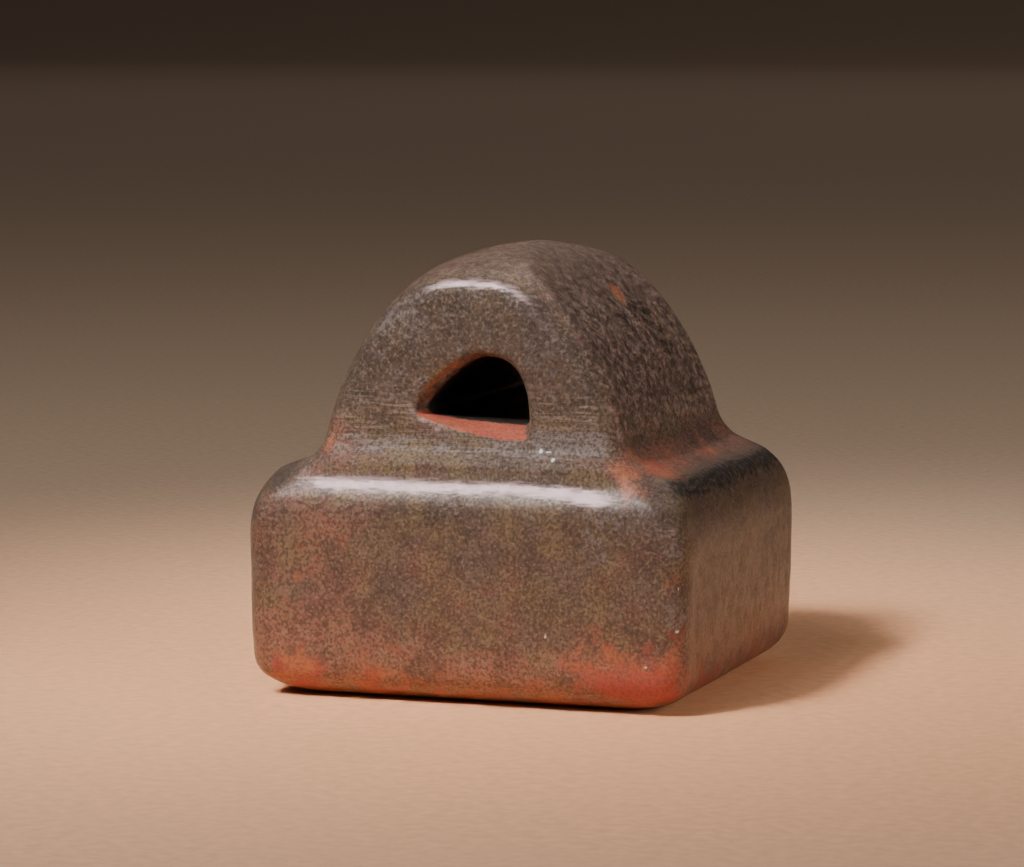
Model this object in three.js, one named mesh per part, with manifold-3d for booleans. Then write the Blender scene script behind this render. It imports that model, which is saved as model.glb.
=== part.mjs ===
import * as THREE from 'three';
import Module from 'manifold-3d';
import { mergeVertices } from 'three/addons/utils/BufferGeometryUtils.js';

// A small cast bronze seal: a square block with softly rounded edges, a low roof that rises
// to the foot of a thick arched knob, and a cord tunnel that runs through the knob from front to back.
// Millimetres, +Z up. The front is the -Y side, and the origin is the middle of the seal face.

// Block, up to the top of its shoulders
const blockWidth = 23.5;
const blockDepth = 22.0;
const blockHeight = 11.75;
const cornerRadius = 1.45;
const bellyHeight = 5.0;
const bottomTaper = 0.12;

// Rounded edge round the seal face
const faceEdgeInset = 3.1;
const faceEdgeHeight = 2.05;

// Left and right shoulders, and the tighter edge along the front and back
const shoulderHeight = 3.5;
const shoulderInset = 1.46;
const shoulderTurn = 0.85;
const frontEdgeHeight = 1.95;
const frontEdgeInset = 1.1;
const frontEdgeDrop = 0.4;
const topCornerRadius = 2.6;
const topCornerOnset = 3;

// Roof between the block's edges and the knob's foot
const roofRise = 0.6;
const footSpread = 0.62;
const footFillet = 1.15;
const frontRoofInset = 0.55;

// Knob: its ledges are the steps from the block's faces to its own
const knobRise = 10.7;
const sideLedge = 3.62;
const frontLedge = 1.5;
const knobLean = 0.35;
const rimFootRadius = 1.05;
const rimTopRadius = 1.6;
const archShoulder = 1.58;
const archFullness = 1.67;
const archSlant = 0.155;
const ridgeDrop = 1.2;
const ridgeTightness = 8;
const ridgeClosingShare = 0.9998;

// Cord tunnel, seen from the front: widths are from its middle line, and its crown leans left
const tunnelMiddle = 0.45;
const tunnelLeft = 3.2;
const tunnelRight = 2.5;
const tunnelHeight = 3.4;
const sillAboveFoot = 1.9;
const sillSlant = 0.45;
const leftFullness = 1.3;
const rightFullness = 2.8;

// Mouths, where the tunnel widens to the knob's face, with a worn lip low on the left of the front one
const mouthDepth = 1.1;
const mouthReach = 0.66;
const mouthCurve = 1.5;
const mouthFlareLeft = 0.25;
const mouthFlareRight = 0.45;
const mouthFlareTop = 0.3;
const mouthRounding = 0.3;
const frontSillDrop = 0.75;
const frontLipWear = 0.85;
const backSillDrop = 0.6;

// Strokes cut in the seal face
const strokeColumns = 4;
const strokeRows = 5;
const strokeWidth = 0.9;
const strokeDepth = 0.6;
const strokeGap = 1.1;
const shortStrokeShare = 0.6;
const faceMargin = 1.4;

// How finely the rounded stretches are divided
const cornerSteps = 7;
const edgeSteps = 6;
const shoulderSteps = 10;
const roofSteps = 5;
const archSteps = 40;
const mouthSteps = 5;
const tunnelArchSteps = 10;
const sillSteps = 6;

// Worked out from the sizes above
const quarterTurn = Math.PI / 2;
const frontEdgeTop = blockHeight - frontEdgeDrop;
const frontEdgeStart = frontEdgeTop - frontEdgeHeight;
const footHeight = blockHeight + roofRise;
const knobHalfWidth = blockWidth / 2 - sideLedge;
const knobHalfDepth = blockDepth / 2 - frontLedge;

// How far a rounded edge has come in: nothing where it starts, the full inset at its end
function roundedInset( rise, fullInset ) {

	return fullInset * ( 1 - Math.sqrt( 1 - rise * rise ) );

}

// One level of the seal: a rectangle with rounded corners, anticlockwise as seen from above.
// spread makes its corners that much longer along X than along Y
function level( halfWidth, halfDepth, radius, height, spread = 1 ) {

	const points = [];
	const cornerWidth = Math.min( radius * spread, halfWidth );
	const cornerDepth = Math.min( radius, halfDepth );
	const cornerX = halfWidth - cornerWidth;
	const cornerY = halfDepth - cornerDepth;
	const corners = [ [ cornerX, - cornerY ], [ cornerX, cornerY ], [ - cornerX, cornerY ], [ - cornerX, - cornerY ] ];

	corners.forEach( ( [ x, y ], corner ) => {

		for ( let i = 0; i <= cornerSteps; i ++ ) {

			const turn = quarterTurn * ( corner - 1 + i / cornerSteps );
			const across = x + cornerWidth * Math.cos( turn );
			points.push( new THREE.Vector3( across, y + cornerDepth * Math.sin( turn ), height ) );

		}

	} );

	return points;

}

// A closed skin over sections with the same number of points, both ends closed flat round a middle point
function loft( sections ) {

	const count = sections[ 0 ].length;
	const last = sections.length - 1;
	const points = sections.flat();
	const indices = [];

	for ( let section = 0; section < last; section ++ ) {

		for ( let i = 0; i < count; i ++ ) {

			const a = section * count + i;
			const b = section * count + ( i + 1 ) % count;
			indices.push( a, b, b + count, a, b + count, a + count );

		}

	}

	for ( const section of [ 0, last ] ) {

		const middle = new THREE.Vector3();
		sections[ section ].forEach( ( point ) => middle.addScaledVector( point, 1 / count ) );
		points.push( middle );

		for ( let i = 0; i < count; i ++ ) {

			const a = section * count + i;
			const b = section * count + ( i + 1 ) % count;
			indices.push( points.length - 1, ...( section === 0 ? [ b, a ] : [ a, b ] ) );

		}

	}

	return new THREE.BufferGeometry().setFromPoints( points ).setIndex( indices );

}

// Half the block's depth at a height, where its front and back edges turn in
function edgeHalfDepth( height ) {

	const rise = THREE.MathUtils.clamp( ( height - frontEdgeStart ) / frontEdgeHeight, 0, 1 );
	return blockDepth / 2 - roundedInset( rise, frontEdgeInset );

}

// Half the depth of the steep roof band that rises behind those edges to the foot of the knob
function roofHalfDepth( height ) {

	const rise = THREE.MathUtils.clamp( ( height - frontEdgeStart ) / ( footHeight - frontEdgeStart ), 0, 1 );
	return knobHalfDepth + footSpread + frontRoofInset * ( 1 - rise );

}

// The block, from the rounded edge of the seal face up to the side shoulders
function blockLevels() {

	const levels = [];

	for ( let i = 0; i <= edgeSteps; i ++ ) {

		const turn = quarterTurn * i / edgeSteps;
		const inset = bottomTaper + faceEdgeInset * ( 1 - Math.sin( turn ) );
		const height = faceEdgeHeight * ( 1 - Math.cos( turn ) );
		levels.push( level( blockWidth / 2 - inset, blockDepth / 2 - inset, cornerRadius, height ) );

	}

	levels.push( level( blockWidth / 2, blockDepth / 2, cornerRadius, bellyHeight ) );

	for ( let i = 0; i <= shoulderSteps; i ++ ) {

		const rise = Math.sin( quarterTurn * shoulderTurn * i / shoulderSteps );
		const height = blockHeight - shoulderHeight * ( 1 - rise );
		const halfWidth = blockWidth / 2 - roundedInset( rise, shoulderInset );
		const halfDepth = Math.max( edgeHalfDepth( height ), roofHalfDepth( height ) );
		const radius = THREE.MathUtils.lerp( cornerRadius, topCornerRadius, rise ** topCornerOnset );
		levels.push( level( halfWidth, halfDepth, radius, height ) );

	}

	return levels;

}

// The knob's outline seen from the front: half its width at a share of its rise, and how fast that narrows
function archOutline( rise ) {

	const left = 1 - rise ** archShoulder;
	const halfWidth = knobHalfWidth * left ** ( 1 / archFullness );
	const narrowing = halfWidth / left * archShoulder / archFullness * rise ** ( archShoulder - 1 ) / knobRise;
	return { halfWidth, narrowing };

}

// Half the knob's depth where its ridge has come down to a share of its rise: the ridge is crowned from front to back
function ridgeHalfDepth( faceHalfDepth, rise ) {

	const crown = faceHalfDepth * Math.sqrt( knobRise * ( 1 - rise ) / ridgeDrop );
	return ( crown ** - ridgeTightness + faceHalfDepth ** - ridgeTightness ) ** ( - 1 / ridgeTightness );

}

// One level of the knob: an arch seen from the front, its top a little to the left, with a fillet at its foot.
// Its two rims are rounded square to the arch's outline
function knobLevel( rise ) {

	const foot = footSpread * Math.max( 0, 1 - knobRise * rise / footFillet ) ** 2;
	const rim = THREE.MathUtils.lerp( rimFootRadius, rimTopRadius, rise );
	const { halfWidth, narrowing } = archOutline( rise );
	const halfDepth = ridgeHalfDepth( knobHalfDepth - knobLean * rise, rise );
	const height = footHeight + knobRise * rise;
	const points = level( halfWidth + foot, halfDepth + foot, rim + foot, height, Math.hypot( 1, narrowing ) );
	points.forEach( ( point ) => point.setX( point.x - archSlant * rise ) );
	return points;

}

function knobLevels() {

	const levels = [];

	for ( let i = 0; i < archSteps; i ++ ) {

		levels.push( knobLevel( Math.sin( quarterTurn * i / archSteps ) ) );

	}

	levels.push( knobLevel( ridgeClosingShare ) );
	return levels;

}

// The roof, straight from the top of the shoulders to the knob's foot
function roofLevels( shoulder, foot ) {

	const levels = [];

	for ( let i = 1; i < roofSteps; i ++ ) {

		levels.push( shoulder.map( ( point, n ) => point.clone().lerp( foot[ n ], i / roofSteps ) ) );

	}

	return levels;

}

function uncutSeal() {

	const block = blockLevels();
	const knob = knobLevels();
	return loft( [ ...block, ...roofLevels( block.at( - 1 ), knob[ 0 ] ), ...knob ] );

}

// A place on a rounded opening: across falls from 1 at the sill to 0 at the crown while up grows from 0 to 1
function archPlace( step, fullness ) {

	const turn = quarterTurn * step / tunnelArchSteps;
	return { across: Math.cos( turn ) ** ( 2 / fullness ), up: Math.sin( turn ) ** ( 2 / fullness ) };

}

// The tunnel's section at y, anticlockwise as seen from the front. flare widens it, drop lowers its sill,
// and wear lifts the sill's left end in a curve
function tunnelSection( y, flare, drop, wear ) {

	const left = tunnelMiddle - tunnelLeft - mouthFlareLeft * flare;
	const right = tunnelMiddle + tunnelRight + mouthFlareRight * flare;
	const crown = footHeight + sillAboveFoot + tunnelHeight + mouthFlareTop * flare;
	const sill = footHeight + sillAboveFoot - drop;
	const leftSill = sill + sillSlant + wear;
	const points = [];

	for ( let i = 0; i < sillSteps; i ++ ) {

		const across = i / sillSteps;
		const height = THREE.MathUtils.lerp( sill, leftSill, ( 1 - across ) ** 2 );
		points.push( new THREE.Vector3( THREE.MathUtils.lerp( left, right, across ), y, height ) );

	}

	for ( let i = 0; i <= tunnelArchSteps; i ++ ) {

		const { across, up } = archPlace( i, rightFullness );
		const height = THREE.MathUtils.lerp( sill, crown, up );
		points.push( new THREE.Vector3( THREE.MathUtils.lerp( tunnelMiddle, right, across ), y, height ) );

	}

	for ( let i = tunnelArchSteps - 1; i > 0; i -- ) {

		const { across, up } = archPlace( i, leftFullness + mouthRounding * flare );
		const height = THREE.MathUtils.lerp( leftSill, crown, up );
		points.push( new THREE.Vector3( THREE.MathUtils.lerp( tunnelMiddle, left, across ), y, height ) );

	}

	return points;

}

// One end of the tunnel, from inside the knob out past its face. side is -1 at the front and 1 at the back
function mouth( side, sillDrop, lipWear ) {

	const sections = [];

	for ( let i = 0; i <= mouthSteps; i ++ ) {

		const out = ( mouthDepth + mouthReach ) * i / mouthSteps;
		const open = out / mouthDepth;
		const y = side * ( knobHalfDepth - mouthDepth + out );
		sections.push( tunnelSection( y, open ** mouthCurve, sillDrop * open, lipWear * open ) );

	}

	return sections;

}

function tunnel() {

	const front = mouth( - 1, frontSillDrop, frontLipWear );
	const back = mouth( 1, backSillDrop, 0 );
	return loft( [ ...back.reverse(), ...front ] );

}

// Rows of short strokes in the seal face, long and short by turns
function faceStrokes() {

	const strokes = [];
	const fieldWidth = blockWidth - 2 * ( faceEdgeInset + faceMargin );
	const fieldDepth = blockDepth - 2 * ( faceEdgeInset + faceMargin );
	const columnPitch = ( fieldWidth + strokeGap ) / strokeColumns;
	const rowPitch = fieldDepth / ( strokeRows - 1 );

	for ( let column = 0; column < strokeColumns; column ++ ) {

		for ( let row = 0; row < strokeRows; row ++ ) {

			const length = ( columnPitch - strokeGap ) * ( ( row + column ) % 2 === 0 ? 1 : shortStrokeShare );
			const stroke = new THREE.BoxGeometry( length, strokeWidth, 2 * strokeDepth );
			const left = column * columnPitch - fieldWidth / 2;
			stroke.translate( left + length / 2, row * rowPitch - fieldDepth / 2, 0 );
			strokes.push( stroke );

		}

	}

	return strokes;

}

// Cutting the tunnel and the strokes out of the seal
const wasm = await Module();
wasm.setup();

function toSolid( geometry ) {

	geometry.deleteAttribute( 'normal' );
	geometry.deleteAttribute( 'uv' );
	const merged = mergeVertices( geometry );
	return new wasm.Manifold( new wasm.Mesh( {
		numProp: 3,
		vertProperties: new Float32Array( merged.getAttribute( 'position' ).array ),
		triVerts: new Uint32Array( merged.getIndex().array ),
	} ) );

}

function toGeometry( solid ) {

	const mesh = solid.getMesh();
	const geometry = new THREE.BufferGeometry();
	geometry.setAttribute( 'position', new THREE.BufferAttribute( mesh.vertProperties, 3 ) );
	geometry.setIndex( new THREE.BufferAttribute( mesh.triVerts, 1 ) );
	geometry.computeVertexNormals();
	return geometry;

}

const cutSeal = [ tunnel(), ...faceStrokes() ].reduce(
	( solid, cut ) => solid.subtract( toSolid( cut ) ),
	toSolid( uncutSeal() ),
);

const bronze = new THREE.MeshStandardMaterial( { color: 0x6e543f, roughness: 0.42, metalness: 0.85 } );
const seal = new THREE.Mesh( toGeometry( cutSeal ), bronze );
seal.name = 'seal';

const group = new THREE.Group();
group.add( seal );

export default group;
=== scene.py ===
import bpy
import numpy as np
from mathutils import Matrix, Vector, noise


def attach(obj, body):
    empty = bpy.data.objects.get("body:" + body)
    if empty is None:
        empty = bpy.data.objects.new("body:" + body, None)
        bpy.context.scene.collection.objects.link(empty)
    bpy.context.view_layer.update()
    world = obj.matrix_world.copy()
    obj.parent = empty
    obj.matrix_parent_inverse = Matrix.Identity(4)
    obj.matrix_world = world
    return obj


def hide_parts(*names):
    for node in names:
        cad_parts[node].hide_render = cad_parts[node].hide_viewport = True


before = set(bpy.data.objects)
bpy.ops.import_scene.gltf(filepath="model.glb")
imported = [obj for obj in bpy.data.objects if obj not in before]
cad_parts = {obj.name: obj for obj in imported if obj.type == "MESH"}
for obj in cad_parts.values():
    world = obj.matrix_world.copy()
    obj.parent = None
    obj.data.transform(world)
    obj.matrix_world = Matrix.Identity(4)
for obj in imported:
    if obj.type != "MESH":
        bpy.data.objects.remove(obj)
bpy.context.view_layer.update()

# The casting
# One piece of bronze: a square block, its low roof and the arched knob with a cord tunnel through it.
# It came from the mould with soft edges, and long handling has rounded them further.
MM = 0.001
SKIN_GRAIN = 0.181 * MM
MELD = 0.001 * MM
ROUNDING_SHARE = 0.5
ROUNDING_PASSES = 10

bpy.ops.object.select_all(action="DESELECT")
seal = bpy.data.objects.new("bronze_seal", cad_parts["seal"].data.copy())
bpy.context.collection.objects.link(seal)
bpy.context.view_layer.objects.active = seal
seal.select_set(True)
bpy.ops.object.mode_set(mode="EDIT")
bpy.ops.mesh.select_all(action="SELECT")
bpy.ops.mesh.remove_doubles(threshold=MELD)
bpy.ops.object.mode_set(mode="OBJECT")

finer = seal.modifiers.new("finer", "REMESH")
finer.mode = "VOXEL"
finer.voxel_size = SKIN_GRAIN
bpy.ops.object.modifier_apply(modifier=finer.name)
soften = seal.modifiers.new("soften", "SMOOTH")
soften.factor = ROUNDING_SHARE
soften.iterations = ROUNDING_PASSES
bpy.ops.object.modifier_apply(modifier=soften.name)
bpy.ops.object.shade_smooth()


def surface_points(piece):
    """The places and outward normals of a piece's vertices, in millimetres."""
    count = len(piece.data.vertices)
    places = np.empty(count * 3, np.float32)
    normals = np.empty(count * 3, np.float32)
    piece.data.vertices.foreach_get("co", places)
    piece.data.vertex_normals.foreach_get("vector", normals)
    return places.reshape(-1, 3).astype(float) / MM, normals.reshape(-1, 3).astype(float)


# Hand wear and the cast skin
# The founder's file left streaks round the arch, and the rest is the uneven skin of old bronze with
# small pits. The seal face stays flat, so that it prints and stands well. All sizes are millimetres.
UNEVEN = 0.045
RIPPLE = 0.012
PIT_DEPTH = 0.03
STREAK_DEPTH = 0.022
BROAD_SWELL = 3.6
MIDDLING_SWELL = 1.5
SMALL_SWELL = 0.7
PIT_SIZE = 0.5
STREAK_SIZE = (1.8, 0.4, 1.8)
KNOB_FOOT = 13.0
KNOB_FOOT_FADE = 1.5


def noise_at(places, size, offset=0.0):
    """Smooth noise from -1 to 1 at each place. size is its grain, one number or one for each axis."""
    scaled = places / np.array(size) + offset
    return np.array([noise.noise(Vector(p)) for p in scaled])


def ramp(values, low, high):
    """0 below low, 1 above high and smooth between them."""
    t = np.clip((values - low) / (high - low), 0, 1)
    return t * t * (3 - 2 * t)


def fade(values, low, high):
    """1 below low, 0 above high and smooth between them."""
    return ramp(-values, -high, -low)


def band(values, start, full, waning, end):
    """0 outside start and end, 1 from full to waning and smooth between them."""
    return ramp(values, start, full) * fade(values, waning, end)


places, normals = surface_points(seal)
x, y, z = places.T
facing_right, facing_back, facing_up = normals.T
facing_end = np.abs(facing_back)
on_arch = ramp(z, KNOB_FOOT, KNOB_FOOT + KNOB_FOOT_FADE) * fade(facing_end, 0.35, 0.75)
broad = noise_at(places, BROAD_SWELL)
middling = noise_at(places, MIDDLING_SWELL, 5.0)
small = noise_at(places, SMALL_SWELL, 31.0)
streaks = noise_at(places, STREAK_SIZE, 3.0)
pits = ramp(noise_at(places, PIT_SIZE, 11.0) + 0.4 * broad, 0.45, 0.7)
relief = UNEVEN * broad + 0.5 * UNEVEN * middling + RIPPLE * small
relief += on_arch * STREAK_DEPTH * streaks - PIT_DEPTH * pits
relief *= 1 - ramp(-facing_up, 0.6, 0.95)
shaped = places + normals * relief[:, None]
shaped[:, 2] = np.maximum(shaped[:, 2], 0)
seal.data.vertices.foreach_set("co", (shaped * MM).astype(np.float32).ravel())
seal.data.update()

# Wear, seal paste, stains and painted light
# Handling bares the metal on the edges, which are coloured bright as painted highlights. Red paste stays
# low on the sides, in the tunnel's mouths and on the roof. Painted shade, a painted black reflection,
# painted sheen and painted light lie on some places. Each mark is a share from 0 to 1 at every vertex, and
# the patina breaks it up into specks.
# A band says where a mark starts, is full, wanes and ends. A patch is a middle, a radius and a share.
TUNNEL_MIDDLE = 0.4
TUNNEL_REACH = 4.3
TUNNEL_BAND = (13.2, 13.5, 18.2, 18.6)
TUNNEL_DEPTH = 8.6
MOUTH_BAND = (13.2, 13.6, 18.2, 18.7)
MOUTH_DEPTH = 7.6


def patches(places, marks):
    """How strongly each place is marked. A patch is strongest at its middle and gone at its radius."""
    marked = np.zeros(len(places))
    for middle, radius, strength in marks:
        away = np.linalg.norm(places - np.array(middle), axis=1) / radius
        marked = np.maximum(marked, strength * fade(away, 0.0, 1.0))
    return marked


front = ramp(-facing_back, 0.5, 0.85)
off_tunnel = np.abs(x - TUNNEL_MIDDLE)
# Painted shade: the inside of the tunnel is coloured black, though the lamps reach in through its open
# ends.
tunnel_shade = fade(off_tunnel, TUNNEL_REACH - 0.4, TUNNEL_REACH) * band(z, *TUNNEL_BAND)
tunnel_shade *= fade(np.abs(y), TUNNEL_DEPTH - 0.7, TUNNEL_DEPTH)
mouth = fade(off_tunnel, TUNNEL_REACH - 0.6, TUNNEL_REACH) * band(z, *MOUTH_BAND)
mouth *= ramp(np.abs(y), MOUTH_DEPTH, MOUTH_DEPTH + 0.7) * fade(facing_end, 0.8, 0.93)
mouth *= ramp(facing_right, -0.6, -0.2)
mouth_floor = ramp(facing_up, 0.2, 0.6)

# Bare metal with painted highlights: the front top edge, the top of the knob's rim, the top of the front
# right corner and a line along the tunnel mouth's lower left lip are coloured bright where the lamp's
# highlight falls. The back top edge has half as much.
EDGE_BAND = (10.55, 11.15, 11.2, 11.8)
EDGE_RISE = 0.45
EDGE_STREAK = (1.6, 9.0, 9.0)
BACK_SHARE = 0.5
RIM_TURN = (0.5, 0.85, 0.88, 0.99)
RIM_HIGHLIGHT_SHARE = 0.75
WORN_AND_HIGHLIGHT = (
    ((11.1, -10.6, 9.3), 0.7, 0.5),
    ((-3.0, -9.45, 14.8), 0.5, 0.6),
    ((-2.4, -9.45, 14.4), 0.4, 0.6),
    ((-1.7, -9.45, 14.0), 0.4, 0.55),
    ((-1.1, -9.45, 13.6), 0.4, 0.5),
)
edge_line = z + EDGE_RISE * ramp(x, 2.0, 10.5) + 0.1 * middling
top_edge_highlight = band(edge_line, *EDGE_BAND) * ramp(np.abs(y), 9.6, 10.1) * fade(np.abs(x), 6.5, 10.2)
top_edge_highlight *= 0.85 + 0.3 * noise_at(places, EDGE_STREAK, 7.0)
top_edge_highlight *= 1 - BACK_SHARE * ramp(y, 0.0, 1.0)
knob_rim_highlight = band(facing_end, *RIM_TURN) * ramp(z, 19.6, 21.2) * ramp(x, -4.0, -1.5) * (0.8 + 0.35 * small)
worn_and_highlight = np.maximum(np.maximum(top_edge_highlight, RIM_HIGHLIGHT_SHARE * knob_rim_highlight), patches(places, WORN_AND_HIGHLIGHT))

ORANGE = (
    ((-8.8, -10.5, 1.0), 3.4, 0.95),
    ((-5.0, -10.2, 0.9), 3.2, 0.7),
    ((0.5, -9.9, 0.6), 3.6, 0.45),
    ((7.6, -10.8, 1.9), 4.2, 0.7),
    ((10.2, -10.6, 1.6), 3.4, 1.0),
    ((11.25, -10.6, 6.9), 1.6, 0.5),
    ((11.25, -10.6, 4.0), 1.8, 0.5),
    ((-7.2, -9.5, 13.2), 1.4, 0.6),
    ((8.6, -10.1, 11.8), 2.4, 0.5),
    ((9.2, -7.4, 12.2), 3.2, 0.68),
    ((9.0, -3.5, 12.3), 3.0, 0.58),
    ((9.2, 1.7, 12.2), 2.4, 0.58),
    ((4.4, 1.6, 20.3), 1.1, 1.0),
    ((-8.65, -11.0, 6.3), 1.1, 0.5),
    ((-8.8, -11.0, 8.2), 1.5, 0.36),
    ((-5.8, -11.0, 8.35), 1.5, 0.36),
    ((-8.0, -11.0, 6.5), 2.2, 0.36),
    ((-9.9, -11.0, 4.8), 2.0, 0.36),
    ((-3.5, -11.0, 2.8), 2.6, 0.3),
    ((11.7, 5.0, 1.5), 5.0, 0.35),
    ((11.7, -7.0, 1.0), 4.0, 0.4),
)
foot_line = z + 0.9 * broad + 0.5 * middling
low = fade(foot_line, 2.0, 5.5)
paste = (0.2 * low + 0.3 * fade(foot_line, 0.3, 2.4)) * fade(facing_up, -0.1, 0.5)
paste = np.maximum(paste, patches(places, ORANGE))
paste = np.maximum(paste, mouth * (0.32 + 0.68 * mouth_floor))
red = ramp(x, 2.5, 8.5) * fade(z, 1.2, 3.6) + 0.5 * mouth * mouth_floor + 0.3 * fade(z, 0.2, 1.0)

ROOF_BAND = (11.6, 12.1, 12.8, 13.6)
roof = band(z, *ROOF_BAND)
warm = 0.22 + 0.35 * middling + 0.2 * broad + 0.4 * fade(x, -9.0, -1.0) * front
warm -= 0.3 * ramp(z, 13.5, 15.0) * front
warm += 0.5 * ramp(facing_right, 0.7, 0.95) * fade(z, 2.0, 8.0) * (0.6 + 0.4 * ramp(y, -8.0, 8.0))
warm += 0.45 * low + 0.7 * roof * ramp(x, 7.0, 8.6) + 0.25 * on_arch

RUBBED_REACH = (3.1, 3.6, 7.15, 7.35)
RUBBED_BAND = (12.7, 13.1, 13.8, 14.4)
KNOB_FOOT_SHEEN_BAND = (12.4, 12.9, 13.5, 14.0)
FILED_BAND = (12.4, 13.2, 15.0, 17.0)
# Greyish patina patches. The two on the front right corner's edge are a painted highlight along that edge.
GREY_AND_SHEEN = (
    ((-3.7, -9.3, 19.6), 2.4, 0.3),
    ((2.4, -9.5, 13.3), 1.6, 0.5),
    ((11.25, -10.6, 8.4), 1.0, 0.8),
    ((11.4, -10.4, 5.2), 1.6, 0.7),
    ((7.5, -11.0, 9.0), 3.6, 0.4),
)
# A silver patch of rubbed metal at the knob's foot, and along the whole front foot of the knob a lighter
# band that is painted sheen.
rubbed_and_sheen = band(x, *RUBBED_REACH) * band(z, *RUBBED_BAND) * front
rubbed_and_sheen = np.maximum(rubbed_and_sheen, 0.45 * band(z, *KNOB_FOOT_SHEEN_BAND) * front)
grey_and_sheen = patches(places, GREY_AND_SHEEN) + 0.24 * ramp(z, 14.0, 15.0) * front
filed = band(z, *FILED_BAND) * front

PALE = (
    ((3.92, -9.58, 13.07), 0.3, 1.0),
    ((4.34, -9.59, 13.04), 0.24, 1.0),
    ((4.63, -9.82, 12.67), 0.3, 1.0),
    ((4.6, -10.96, 3.96), 0.26, 1.0),
    ((11.37, -10.5, 6.53), 0.22, 1.0),
    ((11.33, -10.5, 4.43), 0.24, 1.0),
    ((9.8, -10.9, 2.66), 0.24, 1.0),
)
SOOT = (
    ((5.2, 2.9, 19.3), 2.6, 1.0),
    ((5.5, -0.4, 19.0), 1.8, 0.7),
    ((6.4, 3.5, 17.5), 2.2, 0.8),
    ((7.35, 5.0, 15.5), 1.5, 0.7),
    ((7.0, -2.0, 16.0), 1.6, 0.6),
)
pale = patches(places, PALE)
sooty = patches(places, SOOT)
streaky = on_arch * (0.45 + 0.55 * sooty)
# Painted light on the arch: a lighter brown over its patina, strongest on its right side and weaker under
# the black patches.
arch_patina_and_light = on_arch * (1.0 - 0.5 * sooty) * (0.45 + 0.55 * ramp(x, -3.5, 0.5))

# Painted reflection: a black band along the right top edge stands in for the unlit room mirrored in it.
DARK_REFLECTION_SHARE = 0.68
SIDE_BAND = (1.5, 5.0, 5.0, 8.0)
FILLET_BAND = (12.2, 12.5, 13.8, 14.6)
painted_dark_reflection = ramp(z + 0.3 * middling, 10.1, 11.2) * fade(z, 11.5, 12.5)
painted_dark_reflection *= ramp(x, 9.8, 10.8) * ramp(y, -10.6, -8.6)
painted_shade_and_reflection = np.maximum(tunnel_shade, DARK_REFLECTION_SHARE * painted_dark_reflection)
# Painted shade on the middle of the right side, and a darker brown on the knob's face above the tunnel's
# floor.
deep_and_shade = ramp(facing_right, 0.75, 0.97) * band(z, *SIDE_BAND)
deep_and_shade = np.maximum(deep_and_shade, 0.62 * front * ramp(z, 14.0, 16.0))
dull = roof + band(z, *FILLET_BAND) * fade(facing_up, 0.9, 0.98)

marks = {
    "worn_and_highlight": worn_and_highlight,
    "paste": paste,
    "red": red,
    "warm": warm,
    "grey_and_sheen": grey_and_sheen,
    "pale": pale,
    "painted_shade_and_reflection": painted_shade_and_reflection,
    "deep_and_shade": deep_and_shade,
    "dull": dull,
    "rubbed_and_sheen": rubbed_and_sheen,
    "filed": filed,
    "streaky": streaky,
    "arch_patina_and_light": arch_patina_and_light,
}
for name, share in marks.items():
    layer = seal.data.attributes.new(name, "FLOAT", "POINT")
    layer.data.foreach_set("value", np.clip(share, 0, 1).astype(np.float32))

# The patina
# A brown skin mottled olive, red-brown and grey, with fine dark and pale specks.
# The bare and stained places made above lie over it, with the painted highlights, shade, black reflection,
# sheen and light.
bronze = bpy.data.materials.new("old_bronze")
bronze.use_nodes = True
nodes = bronze.node_tree.nodes
links = bronze.node_tree.links
shader = nodes["Principled BSDF"]
coordinates = nodes.new("ShaderNodeTexCoord")
millimetres = nodes.new("ShaderNodeVectorMath")
millimetres.operation = "SCALE"
millimetres.inputs["Scale"].default_value = 1 / MM
links.new(coordinates.outputs["Object"], millimetres.inputs[0])


def connect(value, socket):
    """Give a socket a constant or another node's output."""
    if isinstance(value, bpy.types.NodeSocket):
        links.new(value, socket)
    else:
        socket.default_value = value


def grain(size, low, high, detail=2.0, stretch=(1, 1, 1)):
    """Specks of a size in millimetres: 0 where the noise is under low and 1 where it is over high."""
    stretched = nodes.new("ShaderNodeVectorMath")
    stretched.operation = "DIVIDE"
    stretched.inputs[1].default_value = stretch
    links.new(millimetres.outputs[0], stretched.inputs[0])
    cloud = nodes.new("ShaderNodeTexNoise")
    cloud.inputs["Scale"].default_value = 1 / size
    cloud.inputs["Detail"].default_value = detail
    links.new(stretched.outputs[0], cloud.inputs["Vector"])
    return limits(cloud.outputs["Fac"], low, high)


def limits(value, low, high):
    """0 under low and 1 over high, smooth between them."""
    step = nodes.new("ShaderNodeMapRange")
    step.interpolation_type = "SMOOTHSTEP"
    step.inputs["From Min"].default_value = low
    step.inputs["From Max"].default_value = high
    links.new(value, step.inputs["Value"])
    return step.outputs["Result"]


def maths(operation, first, second):
    """One sum on two values."""
    sum_node = nodes.new("ShaderNodeMath")
    sum_node.operation = operation
    connect(first, sum_node.inputs[0])
    connect(second, sum_node.inputs[1])
    return sum_node.outputs[0]


def mark(name):
    """One of the shares stored on the vertices."""
    stored = nodes.new("ShaderNodeAttribute")
    stored.attribute_name = name
    return stored.outputs["Fac"]


def broken(name, ragged, size, detail=2.0, stretch=(1, 1, 1)):
    """A stored share broken into specks: smooth where ragged is 0, hard and scattered where it is 1."""
    speckle = grain(size, 0.3, 0.7, detail, stretch)
    share = maths("ADD", mark(name), maths("MULTIPLY", maths("SUBTRACT", speckle, 0.5), ragged))
    return limits(share, ragged / 2, 1 - ragged / 2)


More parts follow.
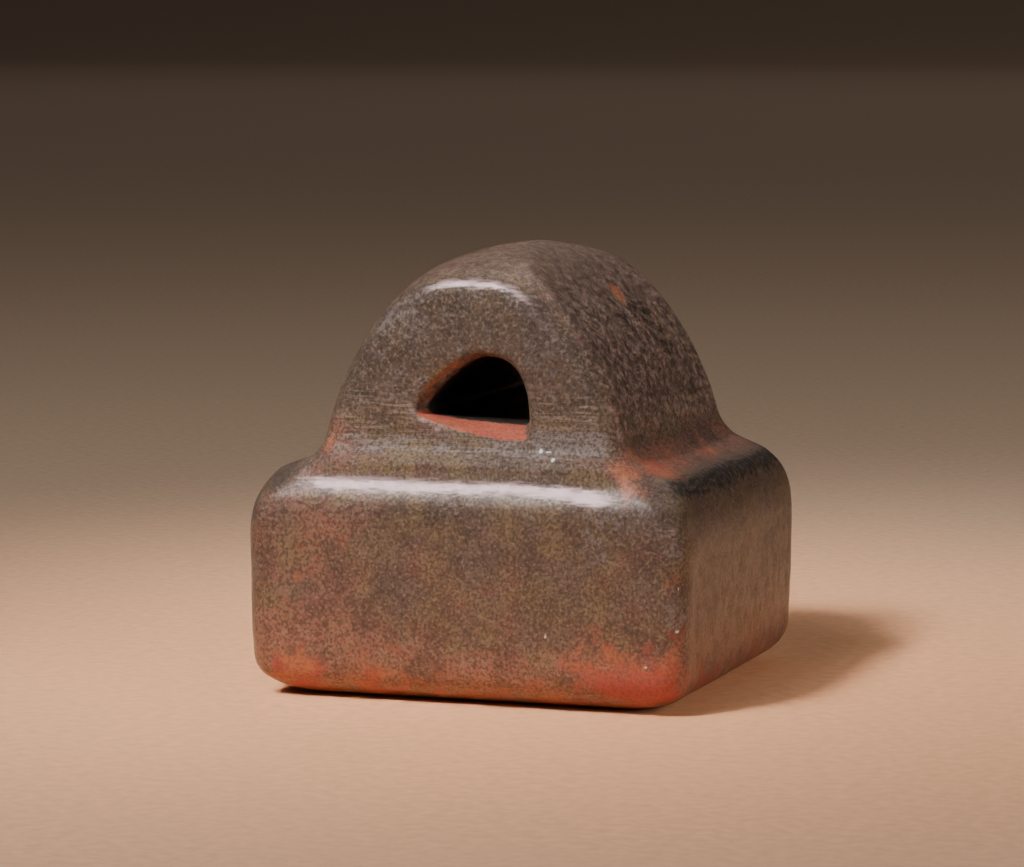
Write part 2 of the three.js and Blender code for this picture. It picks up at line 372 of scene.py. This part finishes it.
def colour_over(under, over, cover):
    """One colour laid over another where cover is 1."""
    mix = nodes.new("ShaderNodeMix")
    mix.data_type = "RGBA"
    connect(cover, mix.inputs["Factor"])
    connect(under, mix.inputs["A"])
    connect(over, mix.inputs["B"])
    return mix.outputs["Result"]


def value_over(under, over, cover):
    """One value replaced by another where cover is 1."""
    mix = nodes.new("ShaderNodeMix")
    mix.data_type = "FLOAT"
    connect(cover, mix.inputs[0])
    connect(under, mix.inputs[2])
    connect(over, mix.inputs[3])
    return mix.outputs[0]


OLIVE_BROWN = (0.17, 0.115, 0.064, 1)
GREY_BROWN = (0.14, 0.095, 0.074, 1)
LIT_ARCH_BROWN = (0.4, 0.265, 0.21, 1)
DEEP_BROWN = (0.072, 0.048, 0.041, 1)
PINK_BROWN = (0.3, 0.125, 0.085, 1)
DARK_SPECK = (0.022, 0.017, 0.014, 1)
LIGHT_FLECK = (0.26, 0.2, 0.15, 1)
STEEL_GREY_AND_SHEEN = (0.2, 0.17, 0.165, 1)
BARE_METAL_HIGHLIGHT = (0.36, 0.25, 0.25, 1)
ORANGE_PASTE = (0.36, 0.105, 0.04, 1)
RED_PASTE = (0.32, 0.032, 0.026, 1)
BLACK_PATINA_AND_SHADE = (0.02, 0.017, 0.015, 1)
PALE_SPECK = (0.6, 0.58, 0.55, 1)

OLIVE_CLOUD = 2.2
DEEP_CLOUD = 1.3
RED_CLOUD = 1.2
SPECK = 0.16
FLECK = 0.18
ROUND_THE_ARCH = (1, 1.5, 1)
ARCH_LIGHT_STREAK = (1, 1.6, 1)
WORN_HIGHLIGHT_STREAK = (4, 1, 0.7)
RUBBED_STREAK = (6, 6, 0.5)
FILE_STREAK = (5, 5, 0.4)

red_flecks = broken("warm", 0.45, 1.3, 4.0)
grey_and_sheen_flecks = broken("grey_and_sheen", 0.6, 0.4, 5.0)
paste_cover = broken("paste", 0.45, 1.1, 5.0)
worn_and_highlight_cover = broken("worn_and_highlight", 0.4, 0.2, 4.0, WORN_HIGHLIGHT_STREAK)
rubbed_and_sheen_cover = broken("rubbed_and_sheen", 0.6, 0.3, 5.0, RUBBED_STREAK)
pale_cover = limits(mark("pale"), 0.45, 0.75)
painted_shade_and_reflection_cover = broken("painted_shade_and_reflection", 0.5, 0.3, 5.0)
deep_and_shade_cover = maths("MULTIPLY", mark("deep_and_shade"), 0.85)
streak_cover = maths("MULTIPLY", mark("streaky"), grain(0.45, 0.43, 0.6, 5.0, ROUND_THE_ARCH))
arch_light_streaks = value_over(0.2, 1.0, grain(0.36, 0.42, 0.6, 5.0, ARCH_LIGHT_STREAK))
arch_light_cover = maths("MULTIPLY", mark("arch_patina_and_light"), arch_light_streaks)
file_cover = maths("MULTIPLY", mark("filed"), grain(0.4, 0.45, 0.65, 3.0, FILE_STREAK))
fine_dark = grain(SPECK, 0.42, 0.64, 5.0)
fine_light = grain(FLECK, 0.48, 0.68, 5.0)

skin = colour_over(OLIVE_BROWN, GREY_BROWN, grain(OLIVE_CLOUD, 0.4, 0.6, 7.0))
skin = colour_over(skin, PINK_BROWN, maths("MULTIPLY", red_flecks, 0.75))
skin = colour_over(skin, DEEP_BROWN, maths("MULTIPLY", grain(DEEP_CLOUD, 0.38, 0.68, 5.0), 0.7))
# Lighter brown on the arch: its patina with painted light.
skin = colour_over(skin, LIT_ARCH_BROWN, arch_light_cover)
skin = colour_over(skin, DEEP_BROWN, deep_and_shade_cover)
# Greyish patina and rubbed metal, with painted sheen on the front right corner's edge and along the knob's
# foot.
skin = colour_over(skin, STEEL_GREY_AND_SHEEN, maths("MULTIPLY", maths("MAXIMUM", grey_and_sheen_flecks, rubbed_and_sheen_cover), 0.75))
skin = colour_over(skin, LIGHT_FLECK, maths("MULTIPLY", maths("MAXIMUM", fine_light, file_cover), 0.6))
skin = colour_over(skin, DARK_SPECK, maths("MULTIPLY", fine_dark, 0.6))
skin = colour_over(skin, BLACK_PATINA_AND_SHADE, maths("MULTIPLY", streak_cover, 0.85))
reddened = maths("MAXIMUM", mark("red"), grain(RED_CLOUD, 0.45, 0.7, 4.0))
paste_colour = colour_over(ORANGE_PASTE, RED_PASTE, reddened)
paste_colour = colour_over(paste_colour, DEEP_BROWN, maths("MULTIPLY", fine_dark, 0.5))
skin = colour_over(skin, paste_colour, maths("MULTIPLY", paste_cover, 0.88))
# Bare metal on the edges, coloured bright as a painted highlight.
skin = colour_over(skin, BARE_METAL_HIGHLIGHT, worn_and_highlight_cover)
# Painted shade inside the tunnel and a painted black reflection along the right top edge.
skin = colour_over(skin, BLACK_PATINA_AND_SHADE, painted_shade_and_reflection_cover)
skin = colour_over(skin, PALE_SPECK, pale_cover)
links.new(skin, shader.inputs["Base Color"])

SKIN_METAL = 0.45
PASTE_METAL = 0.1
WORN_HIGHLIGHT_METAL = 0.6
metal = value_over(SKIN_METAL, PASTE_METAL, paste_cover)
metal = value_over(metal, WORN_HIGHLIGHT_METAL, worn_and_highlight_cover)
metal = value_over(metal, 0.0, maths("MAXIMUM", pale_cover, painted_shade_and_reflection_cover))
links.new(metal, shader.inputs["Metallic"])

SMOOTH_SKIN = 0.45
ROUGH_SKIN = 0.6
ROUGH_PASTE = 0.75
WORN_HIGHLIGHT_SMOOTH = 0.34
roughness = value_over(SMOOTH_SKIN, ROUGH_SKIN, grain(0.8, 0.4, 0.65, 3.0))
roughness = value_over(roughness, ROUGH_PASTE, maths("MAXIMUM", paste_cover, mark("dull")))
roughness = value_over(roughness, WORN_HIGHLIGHT_SMOOTH, worn_and_highlight_cover)
links.new(roughness, shader.inputs["Roughness"])

HANDLED_SHEEN = 0.5
DULL_SHEEN = 0.08
sheen = value_over(HANDLED_SHEEN, DULL_SHEEN, maths("MAXIMUM", mark("dull"), painted_shade_and_reflection_cover))
links.new(sheen, shader.inputs["Coat Weight"])
shader.inputs["Coat Roughness"].default_value = 0.3

PORE_DEPTH = 0.016 * MM
pores = grain(0.3, 0.3, 0.7, 3.0)
skin_height = maths("ADD", pores, maths("MULTIPLY", maths("MAXIMUM", streak_cover, file_cover), 0.8))
texture = nodes.new("ShaderNodeBump")
texture.inputs["Distance"].default_value = PORE_DEPTH
links.new(skin_height, texture.inputs["Height"])
links.new(texture.outputs["Normal"], shader.inputs["Normal"])
seal.data.materials.clear()
seal.data.materials.append(bronze)

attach(seal, "root")
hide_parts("seal")

# The table
# A plain pale sheet that runs far back and then curves up, so that no edge shows behind the seal.
# Near the seal its paper is coloured warmer and brighter, a painted pool of warm light, and it has a fine
# grain. All sizes are metres.
SHEET_SIZE = 20.0
SHEET_ROWS = 120
CURVE_START = 3.0
CURVE_RADIUS = 5.0
bpy.ops.mesh.primitive_grid_add(x_subdivisions=1, y_subdivisions=SHEET_ROWS, size=SHEET_SIZE)
table = bpy.context.object
table.name = "table"
for vertex in table.data.vertices:
    past = min(max(vertex.co.y - CURVE_START, 0), CURVE_RADIUS)
    upright = max(vertex.co.y - CURVE_START - past, 0)
    vertex.co.z = CURVE_RADIUS - (CURVE_RADIUS ** 2 - past ** 2) ** 0.5 + upright
bpy.ops.object.shade_smooth()

WARM_LIGHT_PAPER = (0.82, 0.39, 0.19, 1)
FAR_PAPER = (0.55, 0.38, 0.25, 1)
WARM_LIGHT_REACH = 0.1
PAPER_GRAINS_PER_METRE = 1400.0
DARKEST_GRAIN = 0.93
LIGHTEST_GRAIN = 1.09
paper = bpy.data.materials.new("pale_paper")
paper.use_nodes = True
paper_nodes = paper.node_tree.nodes
paper_links = paper.node_tree.links
paper_shader = paper_nodes["Principled BSDF"]
paper_shader.inputs["Roughness"].default_value = 0.9
paper_place = paper_nodes.new("ShaderNodeTexCoord")
paper_reach = paper_nodes.new("ShaderNodeVectorMath")
paper_reach.operation = "LENGTH"
warm_light_fade = paper_nodes.new("ShaderNodeMapRange")
warm_light_fade.interpolation_type = "SMOOTHSTEP"
warm_light_fade.inputs["From Min"].default_value = 0.0
warm_light_fade.inputs["From Max"].default_value = WARM_LIGHT_REACH
paper_colour = paper_nodes.new("ShaderNodeMix")
paper_colour.data_type = "RGBA"
paper_colour.inputs["A"].default_value = WARM_LIGHT_PAPER
paper_colour.inputs["B"].default_value = FAR_PAPER
paper_grain = paper_nodes.new("ShaderNodeTexNoise")
paper_grain.inputs["Scale"].default_value = PAPER_GRAINS_PER_METRE
paper_grain.inputs["Detail"].default_value = 3.0
paper_tone = paper_nodes.new("ShaderNodeMapRange")
paper_tone.inputs["From Min"].default_value = 0.3
paper_tone.inputs["From Max"].default_value = 0.7
paper_tone.inputs["To Min"].default_value = DARKEST_GRAIN
paper_tone.inputs["To Max"].default_value = LIGHTEST_GRAIN
paper_toned = paper_nodes.new("ShaderNodeVectorMath")
paper_toned.operation = "SCALE"
paper_links.new(paper_place.outputs["Object"], paper_reach.inputs[0])
paper_links.new(paper_reach.outputs["Value"], warm_light_fade.inputs["Value"])
paper_links.new(warm_light_fade.outputs["Result"], paper_colour.inputs["Factor"])
paper_links.new(paper_place.outputs["Object"], paper_grain.inputs["Vector"])
paper_links.new(paper_grain.outputs["Fac"], paper_tone.inputs["Value"])
paper_links.new(paper_colour.outputs["Result"], paper_toned.inputs[0])
paper_links.new(paper_tone.outputs["Result"], paper_toned.inputs["Scale"])
paper_links.new(paper_toned.outputs[0], paper_shader.inputs["Base Color"])
table.data.materials.append(paper)

# The lights
# A soft box high on the front left makes the highlights and the short shadow behind the seal.
# A narrow lamp beside it brightens the table round the seal, and a lamp on the right lifts the shaded side.
# A high weak one lights the distance, and the room gives a faint even light.


def soft_light(name, place, aim, width, height, watts, colour, spread=180):
    """A rectangular lamp at a place, turned to shine at another. spread is its beam's width in degrees."""
    lamp = bpy.data.lights.new(name, "AREA")
    lamp.shape = "RECTANGLE"
    lamp.size = width
    lamp.size_y = height
    lamp.energy = watts
    lamp.color = colour
    lamp.spread = np.radians(spread)
    holder = bpy.data.objects.new(name, lamp)
    holder.location = place
    holder.rotation_euler = (Vector(aim) - Vector(place)).to_track_quat("-Z", "Y").to_euler()
    bpy.context.collection.objects.link(holder)
    return holder


soft_light(
    "soft_box",
    place=(-0.09, -0.198, 0.246),
    aim=(0, 0, 0.012),
    width=0.14,
    height=0.11,
    watts=0.52,
    colour=(1.0, 0.98, 0.99),
)
pool_light = soft_light(
    "pool_light",
    place=(-0.100, -0.185, 0.219),
    aim=(-0.006, 0.013, 0),
    width=0.06,
    height=0.06,
    watts=0.026,
    colour=(1.0, 0.97, 0.94),
    spread=19,
)
pool_light.visible_glossy = False
side_light = soft_light(
    "side_light",
    place=(0.38, -0.13, 0.16),
    aim=(0, 0, 0.01),
    width=0.2,
    height=0.2,
    watts=1.05,
    colour=(1.0, 0.98, 0.97),
)
side_light.visible_glossy = False
soft_light(
    "room_light",
    place=(0.2, 1.7, 2.2),
    aim=(0.2, 1.7, 0),
    width=1.0,
    height=1.0,
    watts=5.0,
    colour=(1.0, 0.98, 0.97),
)

ROOM_COLOUR = (0.045, 0.043, 0.046, 1)
world = bpy.data.worlds.new("room")
world.use_nodes = True
world.node_tree.nodes["Background"].inputs["Color"].default_value = ROOM_COLOUR
world.node_tree.nodes["Background"].inputs["Strength"].default_value = 1.0
bpy.context.scene.world = world

# The camera
# It stands to the right of the seal's front and a little above it, with a long lens.
# Its place and direction are the photograph's own, fitted to the seal's outline.
SENSOR_WIDTH = 36.0
LENS = 140.3
NEAREST = 0.01
STAND = (0.06714, -0.197773, 0.034407)
LOOK = (-0.323665, 0.940606, -0.102476)
camera = bpy.data.cameras.new("camera")
camera.sensor_width = SENSOR_WIDTH
camera.lens = LENS
camera.clip_start = NEAREST
viewer = bpy.data.objects.new("camera", camera)
viewer.location = STAND
viewer.rotation_euler = Vector(LOOK).to_track_quat("-Z", "Y").to_euler()
bpy.context.collection.objects.link(viewer)
bpy.context.scene.camera = viewer
